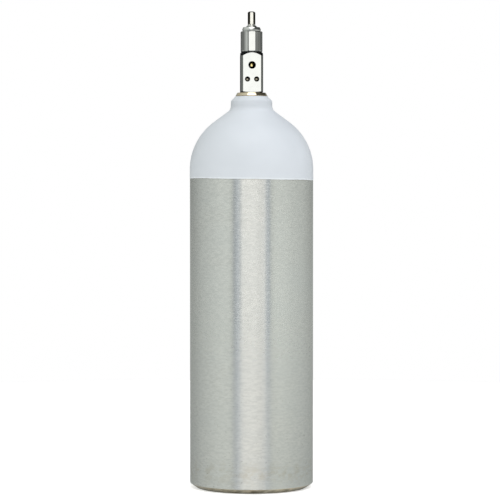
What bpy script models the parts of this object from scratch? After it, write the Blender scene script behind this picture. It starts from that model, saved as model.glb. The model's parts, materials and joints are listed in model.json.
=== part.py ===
"""A medical oxygen cylinder with a pin-index post valve, as an assembly of separate parts.

Metres, +Z up. The origin is the centre of the base, and the valve's outlet port faces -Y.
"""

import math

import bmesh
import bpy
from mathutils import Vector

# Fits
GAP = 0.0003  # between pieces that touch on the real valve
FILM_GAP = 0.0002  # the same where a thin piece is clamped
OVERRUN = 0.0020  # how far a cutter runs past the face it cuts

# Cylinder
SHELL_R = 0.0600
WALL = 0.0060
BASE_FLOOR = 0.0120  # inside height of the base
BASE_CHAMFER_W = 0.0065
BASE_CHAMFER_H = 0.0042
INNER_CORNER = 0.0100
DISH_R = 0.0360  # the base is dished inside its standing ring
DISH_FLAT_R = 0.0300
DISH_DEPTH = 0.0015
DOME_Z = 0.3100  # where the straight wall ends
DOME_H = 0.0578  # height of the ellipse that the shoulder follows
DOME_TURN = math.radians(52.5)  # the shoulder is an ellipse up to here, and then a cone
NECK_R = 0.0200
NECK_FILLET = 0.0070
NECK_TOP = 0.3805
NECK_CHAMFER = 0.0043
COAT_Z = 0.3001  # lower edge of the white coat
COAT_T = 0.00025
COAT_BED = COAT_T + FILM_GAP  # the shell is this much smaller under the coat

# Valve inlet
SHANK_R = 0.0095  # 3/4 in thread, shown plain
SHANK_BOTTOM = 0.3565
SHANK_CHAMFER = 0.0010
COUNTERBORE_R = 0.0123
COUNTERBORE_DEPTH = 0.0031
O_RING_T = 0.00115
WASHER_BOTTOM = 0.3809
WASHER_TOP = 0.3844
WASHER_R = 0.0155
WASHER_TOP_R = 0.0112
WASHER_STEP_R = 0.0139  # its flat top slope turns into a steep one here
WASHER_STEP_Z = 0.3837
WASHER_RIM_Z = 0.3813
INLET_R = 0.0025
TUBE_R = 0.0040
TUBE_BOTTOM = 0.3180
TUBE_TOP = 0.3657

# Post
POST_R = 0.0142  # the bar that the post is milled from
POST_BOTTOM = 0.3847
POST_BOTTOM_R = 0.0116
POST_BOTTOM_CONE = 0.0010
POST_TOP = 0.4229
POST_TOP_R = 0.0106
POST_TOP_CONE = 0.0028
FRONT_Y = -0.0115
SIDE_X = 0.0113
PORT_Z = 0.4107
PORT_R = 0.0035
PORT_FLOOR_Y = -0.0070
PORT_PASSAGE_R = 0.0018
PIN_CIRCLE = 0.0143  # pin holes lie this far from the port
PIN_ANGLE = math.radians(18)  # and this far from straight below it
PIN_R = 0.002375
PIN_DEPTH = 0.0055
SPIGOT_R = 0.0082
SPIGOT_TOP = 0.4320
CHAMBER_R = 0.0060
CHAMBER_FLOOR = 0.4080
SEAT_TOP = 0.4087
SEAT_R = 0.0034
DIMPLE_R = 0.0032  # the yoke's screw sits in it
DIMPLE_DEPTH = 0.0020

# Pressure relief at the back of the post
RELIEF_Z = 0.3950
RELIEF_HOLE_R = 0.0040
RELIEF_FLOOR_Y = 0.0055
RELIEF_PASSAGE_R = 0.0015
RELIEF_FACE_Y = 0.0130
RELIEF_FACE_R = 0.0062
RELIEF_GASKET_T = 0.0006
DISC_T = 0.0004
RELIEF_HEAD_ACROSS = 0.0095
RELIEF_HEAD_T = 0.0050
RELIEF_HEAD_CHAMFER = 0.0006
RELIEF_BORE_R = 0.0013
RELIEF_VENT_R = 0.0008

# Seat and stem
PLUG_R = CHAMBER_R - GAP
PLUG_TOP = 0.4230
PLUG_SHOULDER = 0.4130
NOSE_R = 0.0040
NOSE_BOTTOM = 0.4097
NOSE_SLOPE = 0.0006  # drop of the shoulder between plug and nose
SLOT_FLOOR = 0.4175
SLOT_HALF = 0.0015
INSERT_R = 0.0030
INSERT_BOTTOM = 0.40895
INSERT_TOP = 0.4110
STEM_R = 0.0037
STEM_TOP = 0.4630
STEM_TOP_CHAMFER = 0.0010
TANG_BOTTOM = 0.4200
TANG_R = 0.0045
TANG_HALF = SLOT_HALF - GAP
COLLAR_R = 0.0056
COLLAR_BOTTOM = 0.4270
COLLAR_TOP = 0.4300
FLATS_Z = 0.4509
STEM_FLAT_Y = 0.00335

# Bonnet nut, packing and gland nut
RUN_R = STEM_R + 0.00035  # running fit round the stem
THRUST_T = 0.0010
BONNET_R = 0.0104
BONNET_ACROSS = 0.0198
BONNET_BOTTOM = 0.4243
BONNET_TOP = 0.4437
BONNET_RIM = 0.0015  # round rim under the wrench flats
BONNET_CHAMFER = 0.0006
BONNET_CROWN = 0.4323  # underside of the web over the spigot
BOSS_BOTTOM = 0.4316
PACKING_FLOOR = 0.4345
PACKING_R = 0.0065
PACKING_WASHER_T = 0.0007
PACKING_RING_T = 0.0008
STEM_O_RING_T = 0.0009
GLAND_BOTTOM = 0.4408
GLAND_SEAT = 0.4440
GLAND_NECK_R = 0.0087
GLAND_R = 0.00915
GLAND_RIM_BOTTOM = 0.4449
GLAND_RIM_TOP = 0.4477
GLAND_CROWN_R = 0.0086  # the rim slopes in to this at its top
GLAND_SLOPE_Z = 0.4464
GLAND_TOP = 0.4493
GLAND_TOP_R = 0.0046

SHELL_SEGMENTS = 40
TURNED_SEGMENTS = 32
SMALL_SEGMENTS = 24
DRILL_SEGMENTS = 16
RING_SEGMENTS = 8
MERGE = 0.00001
SHARP_ANGLE = math.radians(30)

# Colour, roughness and metallic value of each finish
FINISHES = {
    "brushed_aluminium": ((0.52, 0.54, 0.51), 0.34, 1.0),
    "white_paint": ((0.66, 0.72, 0.76), 0.35, 0.0),
    "chrome": ((0.72, 0.74, 0.74), 0.12, 1.0),
    "brass": ((0.60, 0.47, 0.28), 0.28, 1.0),
    "stem_brass": ((0.66, 0.62, 0.48), 0.20, 1.0),
    "black_rubber": ((0.02, 0.02, 0.02), 0.55, 0.0),
    "nylon": ((0.76, 0.73, 0.62), 0.45, 0.0),
    "white_ptfe": ((0.82, 0.82, 0.80), 0.40, 0.0),
    "nickel": ((0.58, 0.56, 0.52), 0.25, 1.0),
    "copper": ((0.72, 0.36, 0.22), 0.30, 1.0),
}


def clear_scene():
    for obj in list(bpy.data.objects):
        bpy.data.objects.remove(obj, do_unlink=True)


def make_collection(name):
    collection = bpy.data.collections.new(name)
    bpy.context.scene.collection.children.link(collection)
    return collection


def make_material(name):
    colour, roughness, metallic = FINISHES[name]
    material = bpy.data.materials.new(name)
    material.use_nodes = True
    shader = material.node_tree.nodes["Principled BSDF"]
    shader.inputs["Base Color"].default_value = (*colour, 1.0)
    shader.inputs["Roughness"].default_value = roughness
    shader.inputs["Metallic"].default_value = metallic
    return material


clear_scene()
PARTS = make_collection("oxygen_cylinder")
CUTTERS = make_collection("cutters")
MATERIALS = {name: make_material(name) for name in FINISHES}


def add_part(name, mesh, finish):
    obj = bpy.data.objects.new(name, mesh)
    mesh.materials.append(MATERIALS[finish])
    PARTS.objects.link(obj)
    return obj


def add_cutter(name, bm, parent=None):
    mesh = bpy.data.meshes.new(name)
    bm.to_mesh(mesh)
    bm.free()
    obj = bpy.data.objects.new(name, mesh)
    obj.hide_render = True
    obj.display_type = "WIRE"
    obj.parent = parent
    CUTTERS.objects.link(obj)
    return obj


def arc(centre, radius, start, end, steps):
    """Points of an arc in the (radius, height) plane, both ends included; angles in radians."""
    turn = (end - start) / steps
    angles = [start + turn * i for i in range(steps + 1)]
    return [(centre[0] + radius * math.cos(a), centre[1] + radius * math.sin(a)) for a in angles]


def turned(name, outline, finish, segments=SMALL_SEGMENTS, ring=False):
    """Turns (radius, height) points about Z. The outline runs down its outer side.

    A solid's outline starts and ends on the axis, and a ring's is a closed loop.
    """
    mesh = bpy.data.meshes.new(name)
    points = [(radius, 0.0, height) for radius, height in outline]
    edges = [(i, i + 1) for i in range(len(points) - 1)]
    if ring:
        edges.append((len(points) - 1, 0))
    mesh.from_pydata(points, edges, [])
    obj = add_part(name, mesh, finish)
    screw = obj.modifiers.new("turn", "SCREW")
    screw.steps = segments
    screw.render_steps = segments
    screw.use_merge_vertices = True
    screw.merge_threshold = MERGE
    return obj


def washer(name, inner, outer, bottom, top, finish):
    """A plain flat ring."""
    outline = [(outer, top), (outer, bottom), (inner, bottom), (inner, top)]
    return turned(name, outline, finish, ring=True)


def o_ring(name, radius, thickness, height, finish):
    """A round ring; thickness is the radius of its section."""
    outline = arc((radius, height), thickness, 0.0, -math.tau, RING_SEGMENTS)[:-1]
    return turned(name, outline, finish, ring=True)


def drill(name, radius, start, end, tip_radius=None, segments=DRILL_SEGMENTS, parent=None):
    """A round or tapered cutter from start, where it has radius, to end."""
    start = Vector(start)
    end = Vector(end)
    bm = bmesh.new()
    tip = radius if tip_radius is None else tip_radius
    length = (end - start).length
    bmesh.ops.create_cone(
        bm, cap_ends=True, segments=segments, radius1=radius, radius2=tip, depth=length
    )
    cutter = add_cutter(name, bm, parent)
    cutter.location = (start + end) / 2
    cutter.rotation_euler = (end - start).to_track_quat("Z", "Y").to_euler()
    return cutter


def block(name, low, high, parent=None):
    """A box cutter from its lowest corner to its highest."""
    low = Vector(low)
    high = Vector(high)
    bm = bmesh.new()
    bmesh.ops.create_cube(bm, size=1.0)
    bmesh.ops.scale(bm, vec=high - low, verts=bm.verts)
    bmesh.ops.translate(bm, vec=(low + high) / 2, verts=bm.verts)
    return add_cutter(name, bm, parent)


def cut(obj, cutter):
    boolean = obj.modifiers.new(cutter.name, "BOOLEAN")
    boolean.operation = "DIFFERENCE"
    boolean.solver = "EXACT"
    boolean.object = cutter


def mill_hexagon(obj, across, reach, bottom, top):
    """Six wrench flats, the first of them facing the object's own -Y."""
    for i in range(6):
        name = f"{obj.name}_flat_{i + 1}"
        cutter = block(name, (-reach, -2 * reach, bottom), (reach, -across / 2, top), obj)
        cutter.rotation_euler = (0.0, 0.0, math.radians(60 * i))
        cut(obj, cutter)


def shoulder_outline(inset):
    """The cylinder's outside from the neck's top edge down to the straight wall, moved in by inset."""
    a = SHELL_R - inset
    b = DOME_H - inset
    neck = NECK_R - inset
    fillet = NECK_FILLET + inset
    dome = [(a * math.cos(t), DOME_Z + b * math.sin(t)) for t in dome_angles()]
    start_r, start_z = dome[-1]
    lean = math.atan2(a * math.sin(DOME_TURN), b * math.cos(DOME_TURN))
    corner_z = start_z + (start_r - neck) / math.tan(lean)
    centre = (neck + fillet, corner_z + fillet * math.tan(lean / 2))
    into_neck = arc(centre, fillet, math.pi, math.pi + lean, 4)
    # The chamfer is at 45 degrees, so its radius and height add up to the same everywhere.
    chamfer = NECK_R + NECK_TOP - NECK_CHAMFER - inset * math.sqrt(2)
    return [(chamfer - NECK_TOP, NECK_TOP), (neck, chamfer - neck)] + into_neck + dome[::-1]


def dome_angles(steps=6):
    return [DOME_TURN * i / steps for i in range(steps + 1)]


def make_cylinder_shell():
    inner_r = SHELL_R - WALL
    inner_h = DOME_H - WALL
    bore_r = SHANK_R + GAP
    bore_turn = math.acos(bore_r / inner_r)
    corner = (inner_r - INNER_CORNER, BASE_FLOOR + INNER_CORNER)
    inside = [(0.0, BASE_FLOOR)]
    inside += arc(corner, INNER_CORNER, -math.pi / 2, 0.0, 3)
    for i in range(8):
        turn = bore_turn * i / 7
        inside.append((inner_r * math.cos(turn), DOME_Z + inner_h * math.sin(turn)))
    counterbore = NECK_TOP - COUNTERBORE_DEPTH
    inside += [(bore_r, counterbore), (COUNTERBORE_R, counterbore), (COUNTERBORE_R, NECK_TOP)]
    bed_bottom = COAT_Z - GAP
    outside = shoulder_outline(COAT_BED)
    outside += [(SHELL_R - COAT_BED, bed_bottom), (SHELL_R, bed_bottom)]
    outside += [(SHELL_R, BASE_CHAMFER_H), (SHELL_R - BASE_CHAMFER_W, 0.0)]
    outside += [(DISH_R, 0.0), (DISH_FLAT_R, DISH_DEPTH), (0.0, DISH_DEPTH)]
    return turned("cylinder_shell", inside + outside, "brushed_aluminium", SHELL_SEGMENTS)


def make_shoulder_coat():
    outside = shoulder_outline(0.0) + [(SHELL_R, COAT_Z)]
    inside = shoulder_outline(COAT_T) + [(SHELL_R - COAT_T, COAT_Z)]
    outline = outside + inside[::-1]
    return turned("shoulder_coat", outline, "white_paint", SHELL_SEGMENTS, ring=True)


def make_inlet():
    ring_r = (SHANK_R + COUNTERBORE_R) / 2
    ring_z = NECK_TOP - COUNTERBORE_DEPTH / 2
    o_ring("inlet_o_ring", ring_r, O_RING_T, ring_z, "black_rubber")
    bore = SHANK_R + GAP
    outline = [
        (WASHER_TOP_R, WASHER_TOP),
        (WASHER_STEP_R, WASHER_STEP_Z),
        (WASHER_R, WASHER_RIM_Z),
        (WASHER_R, WASHER_BOTTOM),
        (bore, WASHER_BOTTOM),
        (bore, WASHER_TOP),
    ]
    turned("neck_washer", outline, "brass", TURNED_SEGMENTS, ring=True)
    washer("inlet_tube", INLET_R, TUBE_R, TUBE_BOTTOM, TUBE_TOP, "brass")


def make_valve_body():
    tube_hole = TUBE_R + GAP
    outside = [
        (CHAMBER_R, SPIGOT_TOP),
        (SPIGOT_R, SPIGOT_TOP),
        (SPIGOT_R, POST_TOP),
        (POST_TOP_R, POST_TOP),
        (POST_R, POST_TOP - POST_TOP_CONE),
        (POST_R, POST_BOTTOM + POST_BOTTOM_CONE),
        (POST_BOTTOM_R, POST_BOTTOM),
        (SHANK_R, POST_BOTTOM),
        (SHANK_R, SHANK_BOTTOM + SHANK_CHAMFER),
        (SHANK_R - SHANK_CHAMFER, SHANK_BOTTOM),
    ]
    inside = [
        (tube_hole, SHANK_BOTTOM),
        (tube_hole, TUBE_TOP + GAP),
        (INLET_R, TUBE_TOP + GAP),
        (INLET_R, SEAT_TOP),
        (SEAT_R, SEAT_TOP),
        (SEAT_R, CHAMBER_FLOOR),
        (CHAMBER_R, CHAMBER_FLOOR),
    ]
    body = turned("valve_body", outside + inside, "chrome", TURNED_SEGMENTS, ring=True)
    reach = POST_R + OVERRUN
    low = POST_BOTTOM - OVERRUN
    high = POST_TOP + OVERRUN
    cut(body, block("front_flat", (-reach, -reach, low), (reach, FRONT_Y, high)))
    cut(body, block("left_flat", (-reach, -reach, low), (-SIDE_X, reach, high)))
    cut(body, block("right_flat", (SIDE_X, -reach, low), (reach, reach, high)))
    drill_outlet(body)
    drill_relief_port(body)
    return body


def drill_outlet(body):
    outside_y = FRONT_Y - OVERRUN
    cut(body, drill("port", PORT_R, (0, outside_y, PORT_Z), (0, PORT_FLOOR_Y, PORT_Z)))
    passage_end = (0, -CHAMBER_R / 2, PORT_Z)
    cut(body, drill("port_passage", PORT_PASSAGE_R, (0, outside_y, PORT_Z), passage_end))
    pin_z = PORT_Z - PIN_CIRCLE * math.cos(PIN_ANGLE)
    for side, name in ((-1, "pin_hole_left"), (1, "pin_hole_right")):
        pin_x = side * PIN_CIRCLE * math.sin(PIN_ANGLE)
        floor = (pin_x, FRONT_Y + PIN_DEPTH, pin_z)
        cut(body, drill(name, PIN_R, (pin_x, outside_y, pin_z), floor))
    # The dimple's cutter starts outside the bar, where its cone is wider in proportion.
    wide = DIMPLE_R * (DIMPLE_DEPTH + OVERRUN) / DIMPLE_DEPTH
    start = (0, POST_R + OVERRUN, PORT_Z)
    tip = (0, POST_R - DIMPLE_DEPTH, PORT_Z)
    cut(body, drill("yoke_dimple", wide, start, tip, tip_radius=0.0))


def drill_relief_port(body):
    outside = (0, POST_R + OVERRUN, RELIEF_Z)
    cut(body, drill("relief_face", RELIEF_FACE_R, outside, (0, RELIEF_FACE_Y, RELIEF_Z)))
    cut(body, drill("relief_hole", RELIEF_HOLE_R, outside, (0, RELIEF_FLOOR_Y, RELIEF_Z)))
    cut(body, drill("relief_passage", RELIEF_PASSAGE_R, outside, (0, INLET_R / 2, RELIEF_Z)))


def make_relief():
    """Plug, disc and gasket, turned about their own Z, which points to the back."""
    inner = RELIEF_PASSAGE_R
    outer = RELIEF_HOLE_R - GAP
    gasket_bottom = RELIEF_FLOOR_Y + FILM_GAP
    gasket_top = gasket_bottom + RELIEF_GASKET_T
    disc_bottom = gasket_top + FILM_GAP
    disc_top = disc_bottom + DISC_T
    gasket = washer("relief_gasket", inner, outer, gasket_bottom, gasket_top, "copper")
    disc_outline = [(0.0, disc_top), (outer, disc_top), (outer, disc_bottom), (0.0, disc_bottom)]
    disc = turned("burst_disc", disc_outline, "nickel")
    tip = disc_top + FILM_GAP
    seat = RELIEF_FACE_Y + GAP
    head_top = seat + RELIEF_HEAD_T
    head_r = RELIEF_HEAD_ACROSS / math.sqrt(3)
    bore_top = head_top - RELIEF_HEAD_T / 3
    plug_outline = [
        (0.0, head_top),
        (RELIEF_HEAD_ACROSS / 2, head_top),
        (head_r, head_top - RELIEF_HEAD_CHAMFER),
        (head_r, seat),
        (outer, seat),
        (outer, tip),
        (RELIEF_BORE_R, tip),
        (RELIEF_BORE_R, bore_top),
        (0.0, bore_top),
    ]
    plug = turned("relief_plug", plug_outline, "brass")
    for obj in (gasket, disc, plug):
        obj.location = (0.0, 0.0, RELIEF_Z)
        obj.rotation_euler = (-math.pi / 2, 0.0, 0.0)
    mill_hexagon(plug, RELIEF_HEAD_ACROSS, 2 * head_r, seat - GAP / 2, head_top + OVERRUN)
    vent_z = seat + RELIEF_HEAD_T / 2
    for i in range(3):
        angle = math.radians(60 * i)
        out = Vector((math.sin(angle), math.cos(angle), 0.0)) * 2 * head_r
        up = Vector((0.0, 0.0, vent_z))
        cut(plug, drill(f"vent_{i + 1}", RELIEF_VENT_R, up - out, up + out, segments=8, parent=plug))


def make_seat():
    pocket_r = INSERT_R + GAP
    pocket_top = INSERT_TOP + GAP
    outline = [
        (0.0, PLUG_TOP),
        (PLUG_R, PLUG_TOP),
        (PLUG_R, PLUG_SHOULDER),
        (NOSE_R, PLUG_SHOULDER - NOSE_SLOPE),
        (NOSE_R, NOSE_BOTTOM),
        (pocket_r, NOSE_BOTTOM),
        (pocket_r, pocket_top),
        (0.0, pocket_top),
    ]
    plug = turned("seat_plug", outline, "brass")
    reach = PLUG_R + OVERRUN
    slot_high = (SLOT_HALF, reach, PLUG_TOP + OVERRUN)
    cut(plug, block("drive_slot", (-SLOT_HALF, -reach, SLOT_FLOOR), slot_high))
    outline = [
        (0.0, INSERT_TOP),
        (INSERT_R, INSERT_TOP),
        (INSERT_R, INSERT_BOTTOM),
        (0.0, INSERT_BOTTOM),
    ]
    insert = turned("seat_insert", outline, "nylon")
    return plug, insert


def make_stem():
    outline = [
        (0.0, STEM_TOP),
        (STEM_R - STEM_TOP_CHAMFER, STEM_TOP),
        (STEM_R, STEM_TOP - STEM_TOP_CHAMFER),
        (STEM_R, COLLAR_TOP),
        (COLLAR_R, COLLAR_TOP),
        (COLLAR_R, COLLAR_BOTTOM),
        (TANG_R, COLLAR_BOTTOM),
        (TANG_R, TANG_BOTTOM),
        (0.0, TANG_BOTTOM),
    ]
    stem = turned("stem", outline, "stem_brass")
    reach = TANG_R + OVERRUN
    above = STEM_TOP + OVERRUN
    for side, name in ((-1, "left"), (1, "right")):
        near = side * TANG_HALF
        far = side * reach
        low = (min(near, far), -reach, TANG_BOTTOM - OVERRUN)
        cut(stem, block(f"tang_{name}", low, (max(near, far), reach, COLLAR_BOTTOM)))
    cut(stem, block("stem_flat_front", (-reach, -reach, FLATS_Z), (reach, -STEM_FLAT_Y, above)))
    cut(stem, block("stem_flat_back", (-reach, STEM_FLAT_Y, FLATS_Z), (reach, reach, above)))
    return stem


def make_bonnet():
    gasket_bottom = POST_TOP + FILM_GAP
    gasket_top = BONNET_BOTTOM - FILM_GAP
    inner = SPIGOT_R + GAP
    washer("bonnet_gasket", inner, BONNET_R - FILM_GAP, gasket_bottom, gasket_top, "black_rubber")
    boss_r = CHAMBER_R - GAP
    outline = [
        (BONNET_R - BONNET_CHAMFER, BONNET_TOP),
        (BONNET_R, BONNET_TOP - BONNET_CHAMFER),
        (BONNET_R, BONNET_BOTTOM),
        (inner, BONNET_BOTTOM),
        (inner, BONNET_CROWN),
        (boss_r, BONNET_CROWN),
        (boss_r, BOSS_BOTTOM),
        (RUN_R, BOSS_BOTTOM),
        (RUN_R, PACKING_FLOOR),
        (PACKING_R, PACKING_FLOOR),
        (PACKING_R, BONNET_TOP),
    ]
    nut = turned("bonnet_nut", outline, "chrome", TURNED_SEGMENTS, ring=True)
    flats_bottom = BONNET_BOTTOM + BONNET_RIM
    mill_hexagon(nut, BONNET_ACROSS, 2 * BONNET_R, flats_bottom, BONNET_TOP + OVERRUN)
    thrust_bottom = COLLAR_TOP + GAP
    washer("thrust_washer", RUN_R, boss_r, thrust_bottom, thrust_bottom + THRUST_T, "white_ptfe")


def make_packing():
    """The stack in the bonnet nut's packing chamber, from its floor up to the gland nut."""
    outer = PACKING_R - GAP
    ring_r = (RUN_R + outer) / 2
    height = PACKING_FLOOR + GAP
    washer("packing_washer", RUN_R, outer, height, height + PACKING_WASHER_T, "brass")
    height += PACKING_WASHER_T + FILM_GAP + STEM_O_RING_T
    o_ring("stem_o_ring_lower", ring_r, STEM_O_RING_T, height, "black_rubber")
    height += STEM_O_RING_T + FILM_GAP
    washer("packing_ring", RUN_R, outer, height, height + PACKING_RING_T, "white_ptfe")
    height += PACKING_RING_T + FILM_GAP + STEM_O_RING_T
    o_ring("stem_o_ring_upper", ring_r, STEM_O_RING_T, height, "black_rubber")
    outline = [(RUN_R, GLAND_TOP), (GLAND_TOP_R, GLAND_TOP)]
    outline += gland_flare()
    outline += [
        (GLAND_CROWN_R, GLAND_RIM_TOP),
        (GLAND_R, GLAND_SLOPE_Z),
        (GLAND_R, GLAND_RIM_BOTTOM),
        (GLAND_NECK_R, GLAND_RIM_BOTTOM),
        (GLAND_NECK_R, GLAND_SEAT),
        (outer, GLAND_SEAT),
        (outer, GLAND_BOTTOM),
        (RUN_R, GLAND_BOTTOM),
    ]
    turned("gland_nut", outline, "chrome", TURNED_SEGMENTS, ring=True)


def gland_flare():
    """A hollow curve from the gland nut's top edge out to its rim: a quarter of an ellipse."""
    wide = GLAND_CROWN_R - GLAND_TOP_R
    high = GLAND_TOP - GLAND_RIM_TOP
    turns = [math.radians(turn) for turn in (22.5, 45, 67.5)]
    return [(GLAND_CROWN_R - wide * math.cos(t), GLAND_TOP - high * math.sin(t)) for t in turns]


def settle(obj, depsgraph):
    """Applies an object's modifiers and shades it smooth except at its corners."""
    evaluated = obj.evaluated_get(depsgraph)
    mesh = bpy.data.meshes.new_from_object(evaluated)
    obj.modifiers.clear()
    obj.data = mesh
    mesh.name = obj.name
    mesh.shade_smooth()
    mesh.set_sharp_from_angle(angle=SHARP_ANGLE)


def main():
    make_cylinder_shell()
    make_shoulder_coat()
    make_inlet()
    make_valve_body()
    make_relief()
    plug, insert = make_seat()
    stem = make_stem()
    make_bonnet()
    make_packing()
    axis = bpy.data.objects.new("stem_axis", None)
    PARTS.objects.link(axis)
    for obj in (stem, plug, insert):
        obj.parent = axis
    bpy.context.view_layer.update()
    depsgraph = bpy.context.evaluated_depsgraph_get()
    settled = [obj for obj in PARTS.objects if obj.type == "MESH"]
    for obj in settled:
        settle(obj, depsgraph)


main()
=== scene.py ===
"""Looks for the medical oxygen cylinder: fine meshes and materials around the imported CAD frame.

Metres, in the frame's own axes: +Z up, the valve's outlet port faces -Y.
"""

import json
import math

import bmesh
import bpy
from mathutils import Matrix, Vector


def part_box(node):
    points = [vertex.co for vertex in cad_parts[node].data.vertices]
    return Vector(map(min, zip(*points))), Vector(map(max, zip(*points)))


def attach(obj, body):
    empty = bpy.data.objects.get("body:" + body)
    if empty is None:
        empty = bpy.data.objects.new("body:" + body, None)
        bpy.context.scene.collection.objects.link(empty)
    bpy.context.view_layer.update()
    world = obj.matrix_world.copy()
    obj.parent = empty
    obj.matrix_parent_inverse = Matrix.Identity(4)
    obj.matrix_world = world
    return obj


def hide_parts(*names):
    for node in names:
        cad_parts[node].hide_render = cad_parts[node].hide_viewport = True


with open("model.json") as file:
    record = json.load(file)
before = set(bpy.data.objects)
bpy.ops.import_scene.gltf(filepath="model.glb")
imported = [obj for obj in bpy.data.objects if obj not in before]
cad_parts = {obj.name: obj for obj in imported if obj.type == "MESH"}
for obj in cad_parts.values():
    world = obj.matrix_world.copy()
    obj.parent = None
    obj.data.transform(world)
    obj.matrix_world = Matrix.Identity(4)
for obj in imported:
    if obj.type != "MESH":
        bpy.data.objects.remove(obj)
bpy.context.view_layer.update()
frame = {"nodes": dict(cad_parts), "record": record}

STATIC_BODY = "cylinder"
STEM_BODY = "stem"

# Shoulder of the cylinder; its radius and heights are read from the frame
DOME_Z = 0.3100  # where the straight wall ends
DOME_H = 0.0578
DOME_TURN = math.radians(52.5)
NECK_R = 0.0200
NECK_FILLET = 0.0070
NECK_CHAMFER = 0.0043
NECK_EDGE = 0.0006
BASE_CHAMFER_W = 0.0065
BASE_CHAMFER_H = 0.0046
BASE_ROUNDING = 0.0010
DISH_R = 0.0360
DISH_FLAT_R = 0.0300
DISH_DEPTH = 0.0015
DISH_ROUNDING = 0.0040
NECK_BORE_R = 0.0098
NECK_BORE_DEPTH = 0.0190
COUNTERBORE_R = 0.0123
COUNTERBORE_DEPTH = 0.0031
WALL_STEP = 0.0020  # between the wall's rings just under the dome
COAT_PROUD = 0.00012  # the paint stands this much over the bare metal
COAT_LIP = 0.00010  # and its masked edge this much more
COAT_UNDER = 0.0002  # the coat's hidden side lies this far in
COAT_TILT = 0.0158  # the masking ran slightly downhill towards +X
LIP_START = 0.0022  # heights of the raised lip over the coat's lower edge
LIP_TOP = 0.0009
LIP_BOTTOM = 0.0003
MASK_WAVE = 0.00012  # the masked edge rises and falls this much
MASK_WAVES = 7

# Valve
WASHER_TOP_R = 0.0112
WASHER_STEP_R = 0.0139
WASHER_STEP_Z = 0.3842
WASHER_RIM_Z = 0.3813
WASHER_EDGE = 0.0004
BAR_R = 0.0144  # the post's rounded corners
SIDE_X = 0.0108
POST_TOP = 0.4229
POST_TOP_R = 0.0114
POST_TOP_CONE = 0.0030
POST_BOTTOM = 0.3847
POST_BOTTOM_R = 0.0116
POST_BOTTOM_CONE = 0.0005
SPIGOT_R = 0.0082
SHANK_R = 0.0095
INLET_R = 0.0025
CHAMBER_R = 0.0060
CHAMBER_FLOOR = 0.4080
PORT_Z = 0.4107
PORT_R = 0.0035
PORT_DEPTH = 0.0045
PORT_PASSAGE_R = 0.0018
PIN_CIRCLE = 0.0143
PIN_ANGLE = math.radians(18)
PIN_R = 0.002375
PIN_DEPTH = 0.0055
PIN_TIP_R = 0.0010
DRILL_HALF_ANGLE = math.radians(59)
DIMPLE_R = 0.0032
DIMPLE_DEPTH = 0.0020
DIMPLE_TIP_R = 0.0006
RELIEF_Z = 0.3950
RELIEF_FACE_Y = 0.0130
RELIEF_FACE_R = 0.0062
RELIEF_HOLE_R = 0.0040
RELIEF_FLOOR_Y = 0.0055
RELIEF_ACROSS = 0.0095
RELIEF_TOP_R = 0.0045
RELIEF_CHAMFER = 0.0006
RELIEF_BORE_R = 0.0013
RELIEF_VENT_R = 0.0006
CLAMP_GAP = 0.0003
EDGE = 0.00018  # broken edges of the turned and milled pieces
GASKET_ROUNDING = 0.00015

BONNET_R = 0.0106
BONNET_ACROSS = 0.0204
BONNET_RIM = 0.0006
BONNET_CHAMFER = 0.0006
BONNET_BORE_R = 0.0085
BONNET_BORE_TOP = 0.4323
COLLAR_ROOM_R = 0.0057
COLLAR_ROOM_TOP = 0.4316
PACKING_R = 0.0065
PACKING_FLOOR = 0.4345
STEM_R = 0.0037
STEM_FLAT_Y = 0.0034
STEM_FLATS_Z = 0.4509
STEM_TOP_CHAMFER = 0.0010
COLLAR_TOP = 0.4300
COLLAR_BOTTOM = 0.4270
TANG_R = 0.0045
TANG_HALF = 0.0012
GLAND_TOP_R = 0.0046
GLAND_RIM_TOP = 0.4477
GLAND_CROWN_R = 0.0082
GLAND_CROWN_STEPS = 12
GLAND_SLOPE_Z = 0.4452
GLAND_RIM_BOTTOM = 0.4449
GLAND_SEAT = 0.4440
GLAND_NECK_R = 0.0087
GLAND_SHANK_R = 0.0062
RUN_R = 0.00405  # the stem's bore in the bonnet and the gland

# Zones of the finish: over the base for the bare wall (scuffs, specks, painted shade on the
# chamfer), over the coat's edge for a painted shadow on the wall and a painted highlight on the
# paint's lip
SCUFF_HEIGHTS = (0.011, 0.027)
SCUFF_FADE = 0.006
SPECK_HEIGHTS = (0.015, 0.200)
CHAMFER_FADE = (BASE_CHAMFER_H - 0.0004, BASE_CHAMFER_H + 0.0001)
BASE_SHADE_DARKEST_Z = 0.0008
BASE_SHADE_STREAK = 0.0012
MASK_SHADOW = (-0.0010, -0.0003)
LIP_HIGHLIGHT = (0.0011, 0.0017)

# Studio; heights are those of a unit direction
WALL_GAIN = 1.05
LEFT_UPPER = 1.2
RIGHT_UPPER = 0.14
PANEL_LIGHT = 1.37
PANEL_TURNS = (math.radians(-21.5), math.radians(23))
PANEL_HEIGHTS = (-0.05, 0.12)
HIGH_PANEL_TURNS = (math.radians(-48), math.radians(46))
HIGH_PANEL_LIGHT = 2.4
HIGH_PANEL_HEIGHTS = (0.73, 0.97)
HORIZON_HEIGHTS = (0.025, 0.115)
SOFT_EDGE = 0.02
FILL_WATTS = 38.0
FILL_SIZE = 2.4
FILL_PLACE = (0.7, -0.5, 2.4)
FILL_TARGET = (0, 0, 0.3)
FLOOR_R = 1.2
FLOOR_DROP = 0.0002
FLOOR_GLOW = 0.55

CAMERA_DISTANCE = 2.15
CAMERA_HEIGHT = 0.290
CAMERA_TURN = math.radians(-2.8)
CAMERA_LENS = 158.8
CAMERA_TARGET = (-0.0015, 0.0, 0.2312)

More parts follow.
